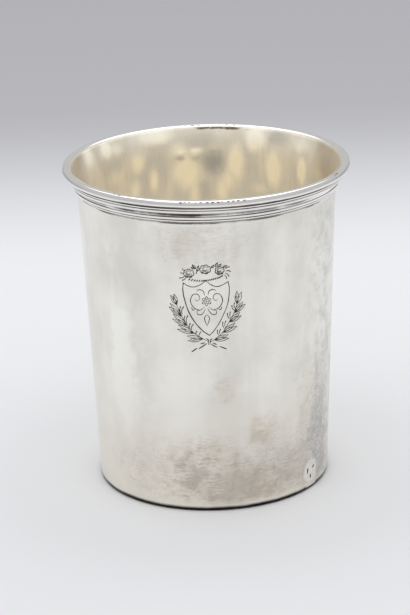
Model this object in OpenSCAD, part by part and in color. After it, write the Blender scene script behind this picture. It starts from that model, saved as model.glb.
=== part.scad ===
// Straight silver drinking beaker with a flared, reeded rim and a gilt inside.
// Millimetres. The table is z = 0, the axis is +Z, and the engraved front faces -Y.

/* [Body] */
// Height from the table to the top of the lip
height = 87.3; // [70:0.1:110]
// Outside diameter of the wall at its lower edge
foot_d = 62; // [52:0.1:70]
// Outside diameter of the wall where it starts to flare
neck_d = 68.4; // [61:0.1:77]
// Thickness of the rolled silver sheet
wall_t = 0.5; // [0.4:0.05:0.8]
// Rounding of the wall's lower outside edge
foot_round = 0.3; // [0.1:0.05:0.35]
// Width of the soldered butt seam up the back of the wall
seam_w = 0.3; // [0.2:0.05:0.6]

/* [Rim] */
// Outside diameter of the lip
lip_d = 76; // [68:0.1:84]
// Width of the lip wire
lip_w = 2.45; // [2.2:0.05:3.2]
// Height of the lip wire above its seat
lip_h = 1.9; // [1.5:0.05:2]
// Depth filed off the underside of the lip wire to seat it
lip_filed = 0.2; // [0.1:0.05:0.4]
// How far the inside of the lip overhangs the wall
lip_lap = 0.25; // [0.2:0.05:0.5]
// Height of the flare between the wall and the lip
flare_h = 3.4; // [2.6:0.1:6]
// Bend radius where the wall turns out into the flare
bend_r = 6; // [1:0.1:8]

/* [Reeded moulding] */
// Thickness of the drawn strip under its grooves
strip_t = 0.6; // [0.5:0.05:0.8]
// Width of each fine outer thread
thread_w = 0.65; // [0.5:0.05:0.9]
// Rise of a fine thread above the grooves
thread_rise = 0.22; // [0.1:0.02:0.3]
// Width of each broad bead
bead_w = 1; // [0.7:0.05:1.3]
// Rise of a broad bead above the grooves
bead_rise = 0.32; // [0.2:0.02:0.45]
// Width of the hollow between the two beads
hollow_w = 1.3; // [0.9:0.05:1.8]
// Depth of the hollow below the grooves
hollow_depth = 0.2; // [0.1:0.02:0.25]
// Width of the groove beside each thread
groove_w = 0.18; // [0.1:0.02:0.3]

/* [Base] */
// Thickness of the base disc
base_t = 0.9; // [0.7:0.05:1.5]
// Height of the wall's lower edge over the table, because the base is sunk in the middle
foot_lift = 0.2; // [0.1:0.1:1.5]
// Width of the level border round the base, inside the wall
base_border = 2.5; // [2.2:0.1:4]
// Width of the ring that slopes from the border down to the flat that the cup stands on
base_slope_w = 4; // [2:0.5:8]

/* [Joints and gilding] */
// Width of the soldered joints at the base, the lip and the closed rings
joint_gap = 0.15; // [0.1:0.05:0.25]
// Radius of the solder fillet round the inside of the base
base_fillet = 1; // [0.6:0.1:1.8]
// Height of the solder fillet under the reeded moulding
moulding_fillet = 0.3; // [0.2:0.05:0.5]
// Angle between the wall's seam and the closing joints of the rim
joint_stagger = 24; // [10:1:60]
// Thickness of the gilding
gilt_t = 0.15; // [0.1:0.05:0.25]

/* [Hidden] */
$fn = 96;
arc_steps = 12;
// Spare length of a cutting shape past the metal that it cuts
clear = 1;

function along(lean) = [sin(lean), cos(lean)];
function outward(lean) = [cos(lean), -sin(lean)];
function arc(centre, r, from, to) =
    [for (i = [0 : arc_steps]) let (a = from + (to - from) * i / arc_steps)
        centre + r * [cos(a), sin(a)]];
function reversed(line) = [for (i = [len(line) - 1 : -1 : 0]) line[i]];

// Seat of the lip wire, on the top edges of the wall and the strip
seat_z = height - lip_h - joint_gap;
seat_inner_r = lip_d / 2 - lip_w + lip_lap;
neck_z = seat_z - flare_h;

// The wall's outside leans from its foot to the neck; an inset is square to it
taper = atan2((neck_d - foot_d) / 2, neck_z - foot_lift);
function wall_r(z, inset = 0) =
    foot_d / 2 + (z - foot_lift) * tan(taper) - inset / cos(taper);

// Round corner between a level face at z and the wall line at an inset
function corner(z, inset, r) =
    arc([wall_r(z + r, inset) - r / cos(taper), z + r], r, -90, -taper);

// The bend joins the inside lines of wall and flare, and its centre is on the side they lean to
flare = atan2(seat_inner_r - wall_r(neck_z, wall_t), flare_h);
bend_side = flare < taper ? -1 : 1;
bend_turn = flare < taper ? 0 : 180;
function bend_radius(inset) = flare < taper ? bend_r + wall_t - inset : bend_r + inset;
bend_start = [wall_r(neck_z, wall_t), neck_z]
    - bend_radius(wall_t) * tan(abs(flare - taper) / 2) * along(taper);
bend_centre = bend_start + bend_side * bend_radius(wall_t) * outward(taper);

// Bend and flare of the wall up to the seat, at an inset from its outside
function seat_r(inset) = seat_inner_r + (wall_t - inset) / cos(flare);
function flare_line(inset) = concat(
    arc(bend_centre, bend_radius(inset), bend_turn - taper, bend_turn - flare),
    [[seat_r(inset), seat_z]]);

// The reeded strip runs down the flare from the seat: x is down it, y is out of it
strip_seat = [seat_r(0), seat_z];
strip_top = -strip_t * tan(flare);
thread_x = groove_w + thread_w / 2;
bead_x = thread_x + thread_w / 2 + groove_w + bead_w / 2;
hollow_x = bead_x + bead_w / 2 + hollow_w / 2;
strip_l = 2 * hollow_x;
function on_strip(x, y) = strip_seat - (strip_top + x) * along(flare) + y * outward(flare);
// Depth of the strip's blank behind the flare, before it is trimmed to the wall
strip_back = flare_h;

// How far out of the strip the wall's outside lies, at a length down it
wall_line = concat([[wall_r(foot_lift), foot_lift]], flare_line(0));
function wall_y(x) = lookup(x, [for (p = wall_line)
    [(strip_seat - p) * along(flare) - strip_top, (p - strip_seat) * outward(flare)]]);

// The base's edge sits inside the wall's lower end, and its middle stands on the table
edge_inset = wall_t + joint_gap;
border_r = wall_r(foot_lift, edge_inset) - base_border;
stand_r = border_r - base_slope_w;
border_top = foot_lift + base_t;

// Inside of the cup, at a depth into the gilding, from the base's middle to the mouth
function cavity_line(depth) = concat(
    [[0, base_t + depth], [stand_r, base_t + depth], [border_r, border_top + depth]],
    corner(border_top + depth, wall_t + depth, base_fillet - depth),
    flare_line(wall_t + depth),
    [[0, seat_z]]);

// Circle with a chord of width w on the floor of the grooves, standing out of it or sunk in it
module reed(x, w, rise, side = 1) {
    r = (w * w / 4 + rise * rise) / (2 * rise);
    translate([x, strip_t + side * (rise - r)]) circle(r);
}

module wall_section() {
    polygon(concat(
        [[wall_r(foot_lift, wall_t), foot_lift]],
        corner(foot_lift, 0, foot_round),
        flare_line(0),
        reversed(flare_line(wall_t))));
}

// Everything inside the wall's outside line, for seating pieces against the wall
module within_wall() {
    polygon(concat([[0, 0], [wall_r(0), 0]], flare_line(0), [[0, seat_z]]));
}

module strip_section() {
    difference() {
        translate(strip_seat) rotate(270 - flare) translate([strip_top, 0]) difference() {
            union() {
                translate([-clear, -strip_back]) square([strip_l + clear, strip_back + strip_t]);
                for (x = [thread_x, strip_l - thread_x]) reed(x, thread_w, thread_rise);
                for (x = [bead_x, strip_l - bead_x]) reed(x, bead_w, bead_rise);
            }
            reed(hollow_x, hollow_w, hollow_depth, side = -1);
        }
        within_wall();
        translate([0, seat_z]) square([lip_d, height]);
    }
}

module lip_section() {
    round_r = (lip_h + lip_filed) / 2;
    translate([lip_d / 2 - lip_w, height - lip_h]) difference() {
        translate([0, -lip_filed]) union() {
            for (x = [round_r, lip_w - round_r]) translate([x, round_r]) circle(round_r);
            translate([round_r, 0]) square([lip_w - 2 * round_r, 2 * round_r]);
        }
        translate([0, -lip_h]) square([lip_w, lip_h]);
    }
}

// Upright slot at the back of the cup, turned round the axis, for a closing joint
module slot(w, turn) {
    rotate(turn) translate([-w / 2, 0, 0]) cube([w, lip_d, height + clear]);
}

module body_wall() {
    color("gainsboro") difference() {
        rotate_extrude() wall_section();
        slot(seam_w, 0);
    }
}

module side_seam() {
    color("darkkhaki") intersection() {
        rotate_extrude() wall_section();
        slot(seam_w, 0);
    }
}

module base_disc() {
    color("gainsboro") rotate_extrude() polygon([
        [0, 0],
        [stand_r, 0],
        [border_r, foot_lift],
        [wall_r(foot_lift, edge_inset), foot_lift],
        [wall_r(border_top, edge_inset), border_top],
        [border_r, border_top],
        [stand_r, base_t],
        [0, base_t]]);
}

module base_solder() {
    color("darkkhaki") rotate_extrude() polygon(concat(
        [[wall_r(border_top, edge_inset), border_top]],
        [[wall_r(foot_lift, edge_inset), foot_lift], [wall_r(foot_lift, wall_t), foot_lift]],
        reversed(corner(border_top, wall_t, base_fillet))));
}

module thread_moulding() {
    color("silver") difference() {
        rotate_extrude() strip_section();
        slot(joint_gap, joint_stagger);
    }
}

module moulding_joint() {
    color("darkkhaki") intersection() {
        rotate_extrude() strip_section();
        slot(joint_gap, joint_stagger);
    }
}

module moulding_solder() {
    crease_y = wall_y(strip_l);
    rise = max(joint_gap, min(moulding_fillet, strip_t - crease_y));
    foot = on_strip(strip_l + moulding_fillet, wall_y(strip_l + moulding_fillet));
    color("darkkhaki") rotate_extrude() difference() {
        polygon([
            on_strip(strip_l, crease_y + rise),
            on_strip(strip_l, crease_y - wall_t),
            foot - wall_t * outward(taper),
            foot]);
        within_wall();
    }
}

module lip_wire() {
    color("whitesmoke") difference() {
        rotate_extrude() lip_section();
        slot(joint_gap, -joint_stagger);
    }
}

module lip_joint() {
    color("darkkhaki") intersection() {
        rotate_extrude() lip_section();
        slot(joint_gap, -joint_stagger);
    }
}

module lip_solder() {
    outer_r = on_strip(0, strip_t)[0];
    color("darkkhaki") translate([0, 0, seat_z]) rotate_extrude()
        translate([seat_r(wall_t), 0]) square([outer_r - seat_r(wall_t), joint_gap]);
}

module gilt_lining() {
    color("goldenrod") rotate_extrude() difference() {
        polygon(cavity_line(0));
        polygon(cavity_line(gilt_t));
    }
}

body_wall();
side_seam();
base_disc();
base_solder();
thread_moulding();
moulding_joint();
moulding_solder();
lip_wire();
lip_joint();
lip_solder();
gilt_lining();
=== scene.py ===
import math
import bmesh
import bpy
from mathutils import Matrix, Vector, noise
from mathutils.geometry import interpolate_bezier
from mathutils.kdtree import KDTree


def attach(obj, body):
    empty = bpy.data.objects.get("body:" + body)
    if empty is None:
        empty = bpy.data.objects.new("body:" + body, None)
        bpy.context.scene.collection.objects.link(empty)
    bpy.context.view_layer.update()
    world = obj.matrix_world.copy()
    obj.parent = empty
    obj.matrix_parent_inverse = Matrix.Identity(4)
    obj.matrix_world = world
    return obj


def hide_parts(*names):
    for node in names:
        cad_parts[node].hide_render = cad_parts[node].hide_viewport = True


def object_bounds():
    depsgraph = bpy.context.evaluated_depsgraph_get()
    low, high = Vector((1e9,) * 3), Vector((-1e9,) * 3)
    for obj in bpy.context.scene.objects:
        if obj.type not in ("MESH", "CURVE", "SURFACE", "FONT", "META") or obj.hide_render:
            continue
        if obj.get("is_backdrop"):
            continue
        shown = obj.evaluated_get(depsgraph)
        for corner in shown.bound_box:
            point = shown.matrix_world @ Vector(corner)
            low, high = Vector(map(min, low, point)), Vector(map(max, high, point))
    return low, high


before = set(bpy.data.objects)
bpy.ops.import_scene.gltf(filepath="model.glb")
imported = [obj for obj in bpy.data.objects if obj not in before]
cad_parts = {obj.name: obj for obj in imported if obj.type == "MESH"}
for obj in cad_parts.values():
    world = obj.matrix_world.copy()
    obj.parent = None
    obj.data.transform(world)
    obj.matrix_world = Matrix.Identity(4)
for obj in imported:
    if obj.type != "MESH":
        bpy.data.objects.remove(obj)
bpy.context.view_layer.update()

print("frame loaded with", len(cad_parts), "nodes")

mm = 0.001

# sizes that several pieces share, in millimetres and degrees
cup = {
    "height": 87.3,
    "footLift": 0.2,
    "footRadius": 31.0,
    "footRound": 0.3,
    "neckRadius": 34.2,
    "flareHeight": 3.4,
    "bendRadius": 6.0,
    "sheet": 0.5,
    "lipRadius": 38.0,
    "lipWidth": 2.45,
    "lipHeight": 1.9,
    "lipFiled": 0.2,
    "lipLap": 0.25,
    "jointGap": 0.15,
    "backAngle": 90.0,
    "stagger": 24.0,
}

seatZ = cup["height"] - cup["lipHeight"] - cup["jointGap"]
neckZ = seatZ - cup["flareHeight"]
taper = math.atan2(cup["neckRadius"] - cup["footRadius"], neckZ - cup["footLift"])
seatInner = cup["lipRadius"] - cup["lipWidth"] + cup["lipLap"]


def wallRadius(z, inset=0.0):
    return cup["footRadius"] + (z - cup["footLift"]) * math.tan(taper) - inset / math.cos(taper)


flare = math.atan2(seatInner - wallRadius(neckZ, cup["sheet"]), cup["flareHeight"])


def along(lean):
    return Vector((math.sin(lean), math.cos(lean)))


def outward(lean):
    return Vector((math.cos(lean), -math.sin(lean)))


# the bend between the wall and its flare
bendInner = cup["bendRadius"] + cup["sheet"]
bendStart = Vector((wallRadius(neckZ, cup["sheet"]), neckZ))
bendStart -= bendInner * math.tan((flare - taper) / 2) * along(taper)
bendCentre = bendStart + bendInner * outward(taper)


def bendFoot(inset):
    return bendCentre - (cup["bendRadius"] + inset) * outward(taper)


def bendHead(inset):
    return bendCentre - (cup["bendRadius"] + inset) * outward(flare)


def seatRadius(inset):
    return seatInner + (cup["sheet"] - inset) / math.cos(flare)


# a section is drawn with a pen on the XZ plane, then turned round the axis
def startPen(x, z):
    bm = bmesh.new()
    return bm, bm.verts.new((x * mm, 0, z * mm))


def lineTo(bm, pen, x, z, steps=1):
    stride = (Vector((x * mm, 0, z * mm)) - pen.co) / steps
    for _ in range(steps):
        pen = bmesh.ops.extrude_vert_indiv(bm, verts=[pen])["verts"][0]
        bmesh.ops.translate(bm, verts=[pen], vec=stride)
    return pen


def linesTo(bm, pen, *stops):
    for stop in stops:
        pen = lineTo(bm, pen, *stop)
    return pen


def arcTo(bm, pen, centre, sweep, steps):  # a positive sweep turns from +X to +Z
    made = bmesh.ops.spin(bm, geom=[pen], cent=(centre[0] * mm, 0, centre[1] * mm),
                          axis=(0, -1, 0), angle=sweep, steps=steps)
    return [v for v in made["geom_last"] if isinstance(v, bmesh.types.BMVert)][0]


def joinPen(bm, pen, first):
    bm.edges.new((pen, first))


def spinSection(bm, start, sweep, steps):
    bmesh.ops.rotate(bm, verts=bm.verts, cent=(0, 0, 0), matrix=Matrix.Rotation(start, 3, "Z"))
    bmesh.ops.spin(bm, geom=bm.verts[:] + bm.edges[:], cent=(0, 0, 0), axis=(0, 0, 1), angle=sweep,
                   steps=steps, use_merge=sweep == 2 * math.pi)
    closePiece(bm)


def turnSection(bm, steps, gapWidth=0.0, gapAngle=0.0, gapRadius=1.0):
    gap = gapWidth / gapRadius  # room for a soldered joint, in radians
    spinSection(bm, math.radians(gapAngle) + gap / 2, 2 * math.pi - gap, steps)


def makeJoint(draw, gapWidth, gapAngle, gapRadius, name, node):  # the sliver of solder that fills such a gap
    bm = draw()
    gap = gapWidth / gapRadius
    spinSection(bm, math.radians(gapAngle) - gap / 2, gap, 2)
    finishPiece(bm, name, solder, node)


def closePiece(bm):
    bmesh.ops.remove_doubles(bm, verts=bm.verts, dist=1e-7)
    ends = [e for e in bm.edges if e.is_boundary]
    if ends:
        bmesh.ops.holes_fill(bm, edges=ends, sides=0)
    bmesh.ops.recalc_face_normals(bm, faces=bm.faces)


def addLayers(bm, *names):
    return [bm.verts.layers.float.new(name) for name in names]


def smoothStep(low, high, value):
    t = min(1.0, max(0.0, (value - low) / (high - low)))
    return t * t * (3 - 2 * t)


def wobble(co, across, up, seed):  # soft hand-made unevenness, from -1 to 1
    return noise.noise(Vector((co.x / across / mm, co.y / across / mm, co.z / up / mm + seed)))


markEdge, markFar = 0.8, 1.8  # shares of a mark's half size: where it ends, and where nothing is left of it


def inMarks(vert, turn, marks, across, rough, soft):  # how far a place lies in worn or stained marks
    strongest = 0.0
    for middle, height, halfTurn, halfUp, strength in marks:
        off = (turn - middle + 180) % 360 - 180
        away = math.hypot(off / halfTurn, (vert.co.z / mm - height) / halfUp)
        if away < markFar:
            away += rough * wobble(vert.co, across, across * 2, middle)
            away += rough * wobble(vert.co, across / 3, across / 2, height)
            strongest = max(strongest, strength * (1 - smoothStep(markEdge - soft, markEdge + soft, away)))
    return strongest


def moveOut(vert, distance):  # radially, in millimetres
    flat = Vector((vert.co.x, vert.co.y, 0))
    if flat.length > 1e-9:
        vert.co += flat.normalized() * distance * mm


def fromFront(co):  # degrees round the axis
    return math.degrees(math.atan2(co.x, -co.y))


def addObject(name, data):
    made = bpy.data.objects.new(name, data)
    bpy.context.scene.collection.objects.link(made)
    return made


def addMesh(bm, name, material):
    mesh = bpy.data.meshes.new(name)
    bm.to_mesh(mesh)
    bm.free()
    mesh.materials.append(material)
    return addObject(name, mesh)


def finishPiece(bm, name, material, node, sharp=40.0):
    for edge in bm.edges:
        edge.smooth = edge.calc_face_angle(0.0) < math.radians(sharp)
    piece = addMesh(bm, name, material)
    for polygon in piece.data.polygons:
        polygon.use_smooth = True
    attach(piece, "root")
    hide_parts(node)
    print("made", name, "with", len(piece.data.polygons), "faces")


# nodes
def place(tree, kind, inputs=None, **settings):
    made = tree.nodes.new(kind)
    for key, value in settings.items():
        setattr(made, key, value)
    for key, value in (inputs or {}).items():
        if isinstance(value, bpy.types.NodeSocket):
            tree.links.new(value, made.inputs[key])
        else:
            made.inputs[key].default_value = value
    return made


def mathNode(operation, a, b=0.5, clamp=False):
    tree = (a if isinstance(a, bpy.types.NodeSocket) else b).id_data
    return place(tree, "ShaderNodeMath", {0: a, 1: b}, operation=operation, use_clamp=clamp).outputs[0]


def times(a, b, clamp=False):
    return mathNode("MULTIPLY", a, b, clamp)


def plus(a, b, clamp=False):
    return mathNode("ADD", a, b, clamp)


def minus(a, b, clamp=False):
    return mathNode("SUBTRACT", a, b, clamp)


def weigh(values, shares):  # the sum of values, each with its share
    total = None
    for value, share in zip(values, shares):
        part = times(value, share)
        total = part if total is None else plus(total, part)
    return total


def ramp(value, low, high, outLow=0.0, outHigh=1.0):
    return place(value.id_data, "ShaderNodeMapRange", {
        "Value": value, "From Min": low, "From Max": high, "To Min": outLow, "To Max": outHigh,
    }, interpolation_type="SMOOTHSTEP").outputs[0]


def mixColour(share, a, b):
    return place(share.id_data, "ShaderNodeMix", {0: share, 6: a, 7: b}, data_type="RGBA").outputs[2]


def startGroup(name, inputs, outputs):
    group = bpy.data.node_groups.new(name, "ShaderNodeTree")
    for label, kind, value in inputs:
        socket = group.interface.new_socket(name=label, in_out="INPUT", socket_type=kind)
        if value is not None:
            socket.default_value = value
    for label in outputs:
        group.interface.new_socket(name=label, in_out="OUTPUT", socket_type="NodeSocketFloat")
    return group, place(group, "NodeGroupInput").outputs, place(group, "NodeGroupOutput")


patterns = {
    "cloudRoughness": 0.62,
    "speckRoughness": 0.7,
    "speckEdge": (0.56, 0.74),
    "scratchRoughness": 0.6,
    "scratchSoft": 0.16,
    "grimeAndShadeGaps": (0.35, 0.65),
    "grimeAndShadeEdge": (0.05, 0.75),
}

# tarnish: cloudy patches, with small dark specks in them
patches, given, result = startGroup("tarnishPatches", (
    ("Vector", "NodeSocketVector", None),
    ("Scale", "NodeSocketFloat", 60.0),
    ("Start", "NodeSocketFloat", 0.45),
    ("Full", "NodeSocketFloat", 0.7),
    ("Detail", "NodeSocketFloat", 5.0),
    ("Speck Scale", "NodeSocketFloat", 900.0),
), ("Cloud", "Speck"))
cloud = place(patches, "ShaderNodeTexNoise", {
    "Vector": given["Vector"], "Scale": given["Scale"], "Detail": given["Detail"],
    "Roughness": patterns["cloudRoughness"]})
specks = place(patches, "ShaderNodeTexNoise", {
    "Vector": given["Vector"], "Scale": given["Speck Scale"], "Detail": 3.0,
    "Roughness": patterns["speckRoughness"]})
cloudMask = ramp(cloud.outputs[0], given["Start"], given["Full"])
patches.links.new(cloudMask, result.inputs["Cloud"])
patches.links.new(ramp(specks.outputs[0], *patterns["speckEdge"]), result.inputs["Speck"])

# scratches: noise drawn out along one way of the surface
scratches, given, result = startGroup("polishScratches", (
    ("Vector", "NodeSocketVector", None),
    ("Spacing", "NodeSocketVector", (120.0, 120.0, 2600.0)),
    ("Cut", "NodeSocketFloat", 0.6),
), ("Height", "Mask"))
drawn = place(scratches, "ShaderNodeVectorMath",
              {0: given["Vector"], 1: given["Spacing"]}, operation="MULTIPLY")
lines = place(scratches, "ShaderNodeTexNoise", {
    "Vector": drawn.outputs[0], "Scale": 1.0, "Detail": 4.0, "Roughness": patterns["scratchRoughness"]})
scratches.links.new(lines.outputs[0], result.inputs["Height"])
cut = plus(given["Cut"], patterns["scratchSoft"])
scratches.links.new(ramp(lines.outputs[0], given["Cut"], cut), result.inputs["Mask"])

# grime and painted shade: what is left in grooves, corners and engraved lines, with shade painted at the foot,
# under the lip and in the grooves, broken up by noise
grimeAndShade, given, result = startGroup("hollowGrimeAndShade", (
    ("Vector", "NodeSocketVector", None),
    ("Amount", "NodeSocketFloat", 0.0),
    ("Scale", "NodeSocketFloat", 220.0),
    ("Breakup", "NodeSocketFloat", 0.5),
), ("Mask",))
gaps = place(grimeAndShade, "ShaderNodeTexNoise", {
    "Vector": given["Vector"], "Scale": given["Scale"], "Detail": 3.0})
worn = times(ramp(gaps.outputs[0], *patterns["grimeAndShadeGaps"]), given["Breakup"])
left = minus(given["Amount"], worn, clamp=True)
grimeAndShade.links.new(ramp(left, *patterns["grimeAndShadeEdge"]), result.inputs["Mask"])


def startMaterial(name, metallic=1.0):
    material = bpy.data.materials.new(name)
    material.use_nodes = True
    tree = material.node_tree
    shader = tree.nodes["Principled BSDF"]
    shader.inputs["Metallic"].default_value = metallic
    where = place(tree, "ShaderNodeTexCoord").outputs["Object"]
    return material, tree, shader, where


def useGroup(where, group, inputs):
    return place(where.id_data, "ShaderNodeGroup", {"Vector": where, **inputs}, node_tree=group).outputs


def tarnish(where, scale, start, full, specks, detail=5.0):
    return useGroup(where, patches, {
        "Scale": scale, "Start": start, "Full": full, "Detail": detail, "Speck Scale": specks})


def scratched(where, spacing, cut):
    return useGroup(where, scratches, {"Spacing": spacing, "Cut": cut})


def attribute(tree, name):
    return place(tree, "ShaderNodeAttribute", attribute_name=name).outputs["Fac"]


def dirtAndShadeIn(where, layer, scale, breakup):
    return useGroup(where, grimeAndShade, {
        "Amount": attribute(where.id_data, layer), "Scale": scale, "Breakup": breakup})["Mask"]


def finishMaterial(material, shader, colour, rough, height, strength, distance):
    tree = material.node_tree
    bump = place(tree, "ShaderNodeBump", {"Height": height, "Strength": strength, "Distance": distance})
    for value, socket in ((colour, "Base Color"), (rough, "Roughness"), (bump.outputs[0], "Normal")):
        tree.links.new(value, shader.inputs[socket])
    return material


# the wall's silver: pale and rubbed above, tarnished in a band over the foot that climbs on the right
wallFinish = {
    "clean": (0.97, 0.955, 0.892, 1),
    "cloud": (0.79, 0.765, 0.70, 1),
    "warmTarnish": (0.635, 0.55, 0.45, 1),
    "greyTarnish": (0.50, 0.495, 0.48, 1),
    "pale": (0.93, 0.92, 0.885, 1),
    "line": (0.05, 0.043, 0.036, 1),
    # near black: the painted contact shadow along the foot's edge
    "grimeAndShade": (0.016, 0.013, 0.011, 1),
    "blush": (0.875, 0.82, 0.735, 1),
    "blushTop": (0.045, 0.010),       # metres up, none and most
    "tarnishTop": (0.026, 0.056),     # metres, at the front and at the right
    "tarnishFull": 0.010,
    "cleanFoot": (0.0012, 0.0036),
    "rightStart": (0.8, 1.15),        # radians from the front
    "rightEnd": (1.9, 2.9),
    "leftFade": (-0.62, -0.1),
    "leftEnd": (-1.9, -2.8),
    "blotched": (0.72, 1.15),
    "blotchEnd": (1.25, 2.0),
    "roughness": (0.25, 0.42),
    "bump": (0.12, 0.00002),          # strength, metres
    # tarnish: scale, start, full, scale of its specks
    "clouds": (85.0, 0.36, 0.64, 1900.0),
    "wide": (30.0, 0.40, 0.68, 800.0),
    "streaks": (62.0, 0.38, 0.66, 300.0),
    "streakStretch": (1.0, 1.0, 0.12),
    "blotches": (330.0, 0.44, 0.62, 700.0),
    # scratches: spacing and cut
    "rubbed": ((230.0, 230.0, 2600.0), 0.54),
    "fine": ((420.0, 420.0, 2300.0), 0.49),
    # grime and painted shade: scale and break-up
    "engravedGrime": (700.0, 0.3),
    "footShade": (160.0, 0.1),
    # how much of each is mixed in
    "grainShares": (0.4, 0.5, 0.35),
    "faintShares": (0.5, 0.5, 0.3),
    "leftLeast": 0.12,
    "bandShare": 0.7,
    "evenWarm": 0.15,
    "evenGrey": 0.3,
    "evenCloud": 0.12,
    "blushShare": 0.6,
    "greyShare": 0.35,
    "blotchShare": 0.42,
    "splashShare": 0.9,
    "scratchShare": (0.42, 0.07),     # in the tarnished band, and everywhere
    "speckShare": (0.22, 0.03),
    "paleShare": 0.55,
}


def makeWallSilver():
    look = wallFinish
    material, tree, shader, where = startMaterial("tarnishedSilver")
    axis = place(tree, "ShaderNodeSeparateXYZ", {"Vector": where}).outputs
    turn = mathNode("ARCTAN2", axis["X"], times(axis["Y"], -1.0))
    upright = place(tree, "ShaderNodeMapping", {"Vector": where, "Scale": look["streakStretch"]}).outputs[0]
    clouds, wide, blotches = (tarnish(where, *look[name]) for name in ("clouds", "wide", "blotches"))
    streaks = tarnish(upright, *look["streaks"])
    rubbed, fine = (scratched(where, *look[name]) for name in ("rubbed", "fine"))

    # how much tarnish there is: by height, more to the right, less to the left, none on the foot's edge
    right = times(ramp(turn, *look["rightStart"]), ramp(turn, *look["rightEnd"], 1.0, 0.0))
    top = ramp(right, 0.0, 1.0, *look["tarnishTop"])
    band = times(ramp(axis["Z"], top, look["tarnishFull"]), ramp(axis["Z"], *look["cleanFoot"]))
    left = mathNode("MAXIMUM", ramp(turn, *look["leftFade"], look["leftLeast"], 1.0),
                    ramp(turn, *look["leftEnd"]))
    band = times(times(band, left), minus(1.0, attribute(tree, "rubbed")))
    grain = weigh((clouds["Cloud"], fine["Mask"], blotches["Cloud"]), look["grainShares"])
    warm = plus(times(band, look["bandShare"]), attribute(tree, "warmStain"))
    warm = times(warm, plus(grain, look["evenWarm"]))
    # the bright patches keep the silver clean: painted reflections of the lights, partly rubbed silver
    warm = times(warm, minus(1.0, attribute(tree, "rubbedAndSheen")), clamp=True)

    faint = weigh((wide["Cloud"], streaks["Cloud"], clouds["Cloud"]), look["faintShares"])
    faint = minus(plus(faint, look["evenCloud"]), attribute(tree, "rubbedAndSheen"), clamp=True)
    colour = mixColour(faint, look["clean"], look["cloud"])
    blush = ramp(axis["Z"], *look["blushTop"], 0.0, look["blushShare"])
    colour = mixColour(blush, colour, look["blush"])
    colour = mixColour(warm, colour, look["warmTarnish"])
    grey = times(times(wide["Cloud"], band), look["greyShare"])
    grey = plus(grey, times(attribute(tree, "greyStain"), plus(grain, look["evenGrey"])), clamp=True)
    colour = mixColour(grey, colour, look["greyTarnish"])
    edge = times(ramp(turn, *look["blotched"]), ramp(turn, *look["blotchEnd"], 1.0, 0.0))
    colour = mixColour(times(times(edge, blotches["Cloud"]), look["blotchShare"]), colour, look["greyTarnish"])
    colour = mixColour(times(times(edge, blotches["Speck"]), look["splashShare"]), colour, look["clean"])
    for spots, share, shade in ((rubbed["Mask"], "scratchShare", "greyTarnish"),
                                (wide["Speck"], "speckShare", "line")):
        inBand, everywhere = look[share]
        colour = mixColour(times(spots, plus(times(band, inBand), everywhere)), colour, look[shade])
    colour = mixColour(times(attribute(tree, "rubbed"), look["paleShare"]), colour, look["pale"])
    lines = dirtAndShadeIn(where, "engraved", *look["engravedGrime"])
    colour = mixColour(lines, colour, look["line"])
    # painted contact shadow along the foot's edge
    colour = mixColour(dirtAndShadeIn(where, "grimeAndShade", *look["footShade"]), colour, look["grimeAndShade"])
    rough = ramp(plus(warm, lines), 0.0, 1.0, *look["roughness"])
    height = plus(rubbed["Height"], fine["Height"])
    return finishMaterial(material, shader, colour, rough, height, *look["bump"])


# the rim's silver: bright, with dark grime and painted shade in the grooves and under the lip, and worn gilding
# on the lip's inner side
rimFinish = {
    "clean": (0.945, 0.925, 0.893, 1),
    "dull": (0.80, 0.755, 0.69, 1),
    "gilt": (0.83, 0.79, 0.70, 1),
    "grimeAndShade": (0.07, 0.055, 0.043, 1),
    "roughness": (0.16, 0.36),
    "giltRoughness": 0.6,             # added where the lip is gilt
    "bump": (0.1, 0.00002),
    "clouds": (120.0, 0.45, 0.8, 1800.0),
    "rubbed": ((150.0, 150.0, 3000.0), 0.58),
    "grooveGrimeAndShade": (130.0, 0.35),
    "dullShare": 0.45,
    "rubbedShare": 0.35,
}


def makeRimSilver():
    look = rimFinish
    material, tree, shader, where = startMaterial("brightSilver")
    clouds = tarnish(where, *look["clouds"])
    rubbed = scratched(where, *look["rubbed"])
    dirtAndShade = dirtAndShadeIn(where, "grimeAndShade", *look["grooveGrimeAndShade"])
    gilt = attribute(tree, "gilt")
    colour = mixColour(times(clouds["Cloud"], look["dullShare"]), look["clean"], look["dull"])
    colour = mixColour(gilt, colour, look["gilt"])
    colour = mixColour(dirtAndShade, colour, look["grimeAndShade"])
    wear = plus(times(rubbed["Mask"], look["rubbedShare"]), dirtAndShade)
    rough = plus(ramp(wear, 0.0, 1.0, *look["roughness"]), times(gilt, look["giltRoughness"]))
    return finishMaterial(material, shader, colour, rough, rubbed["Height"], *look["bump"])


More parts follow.
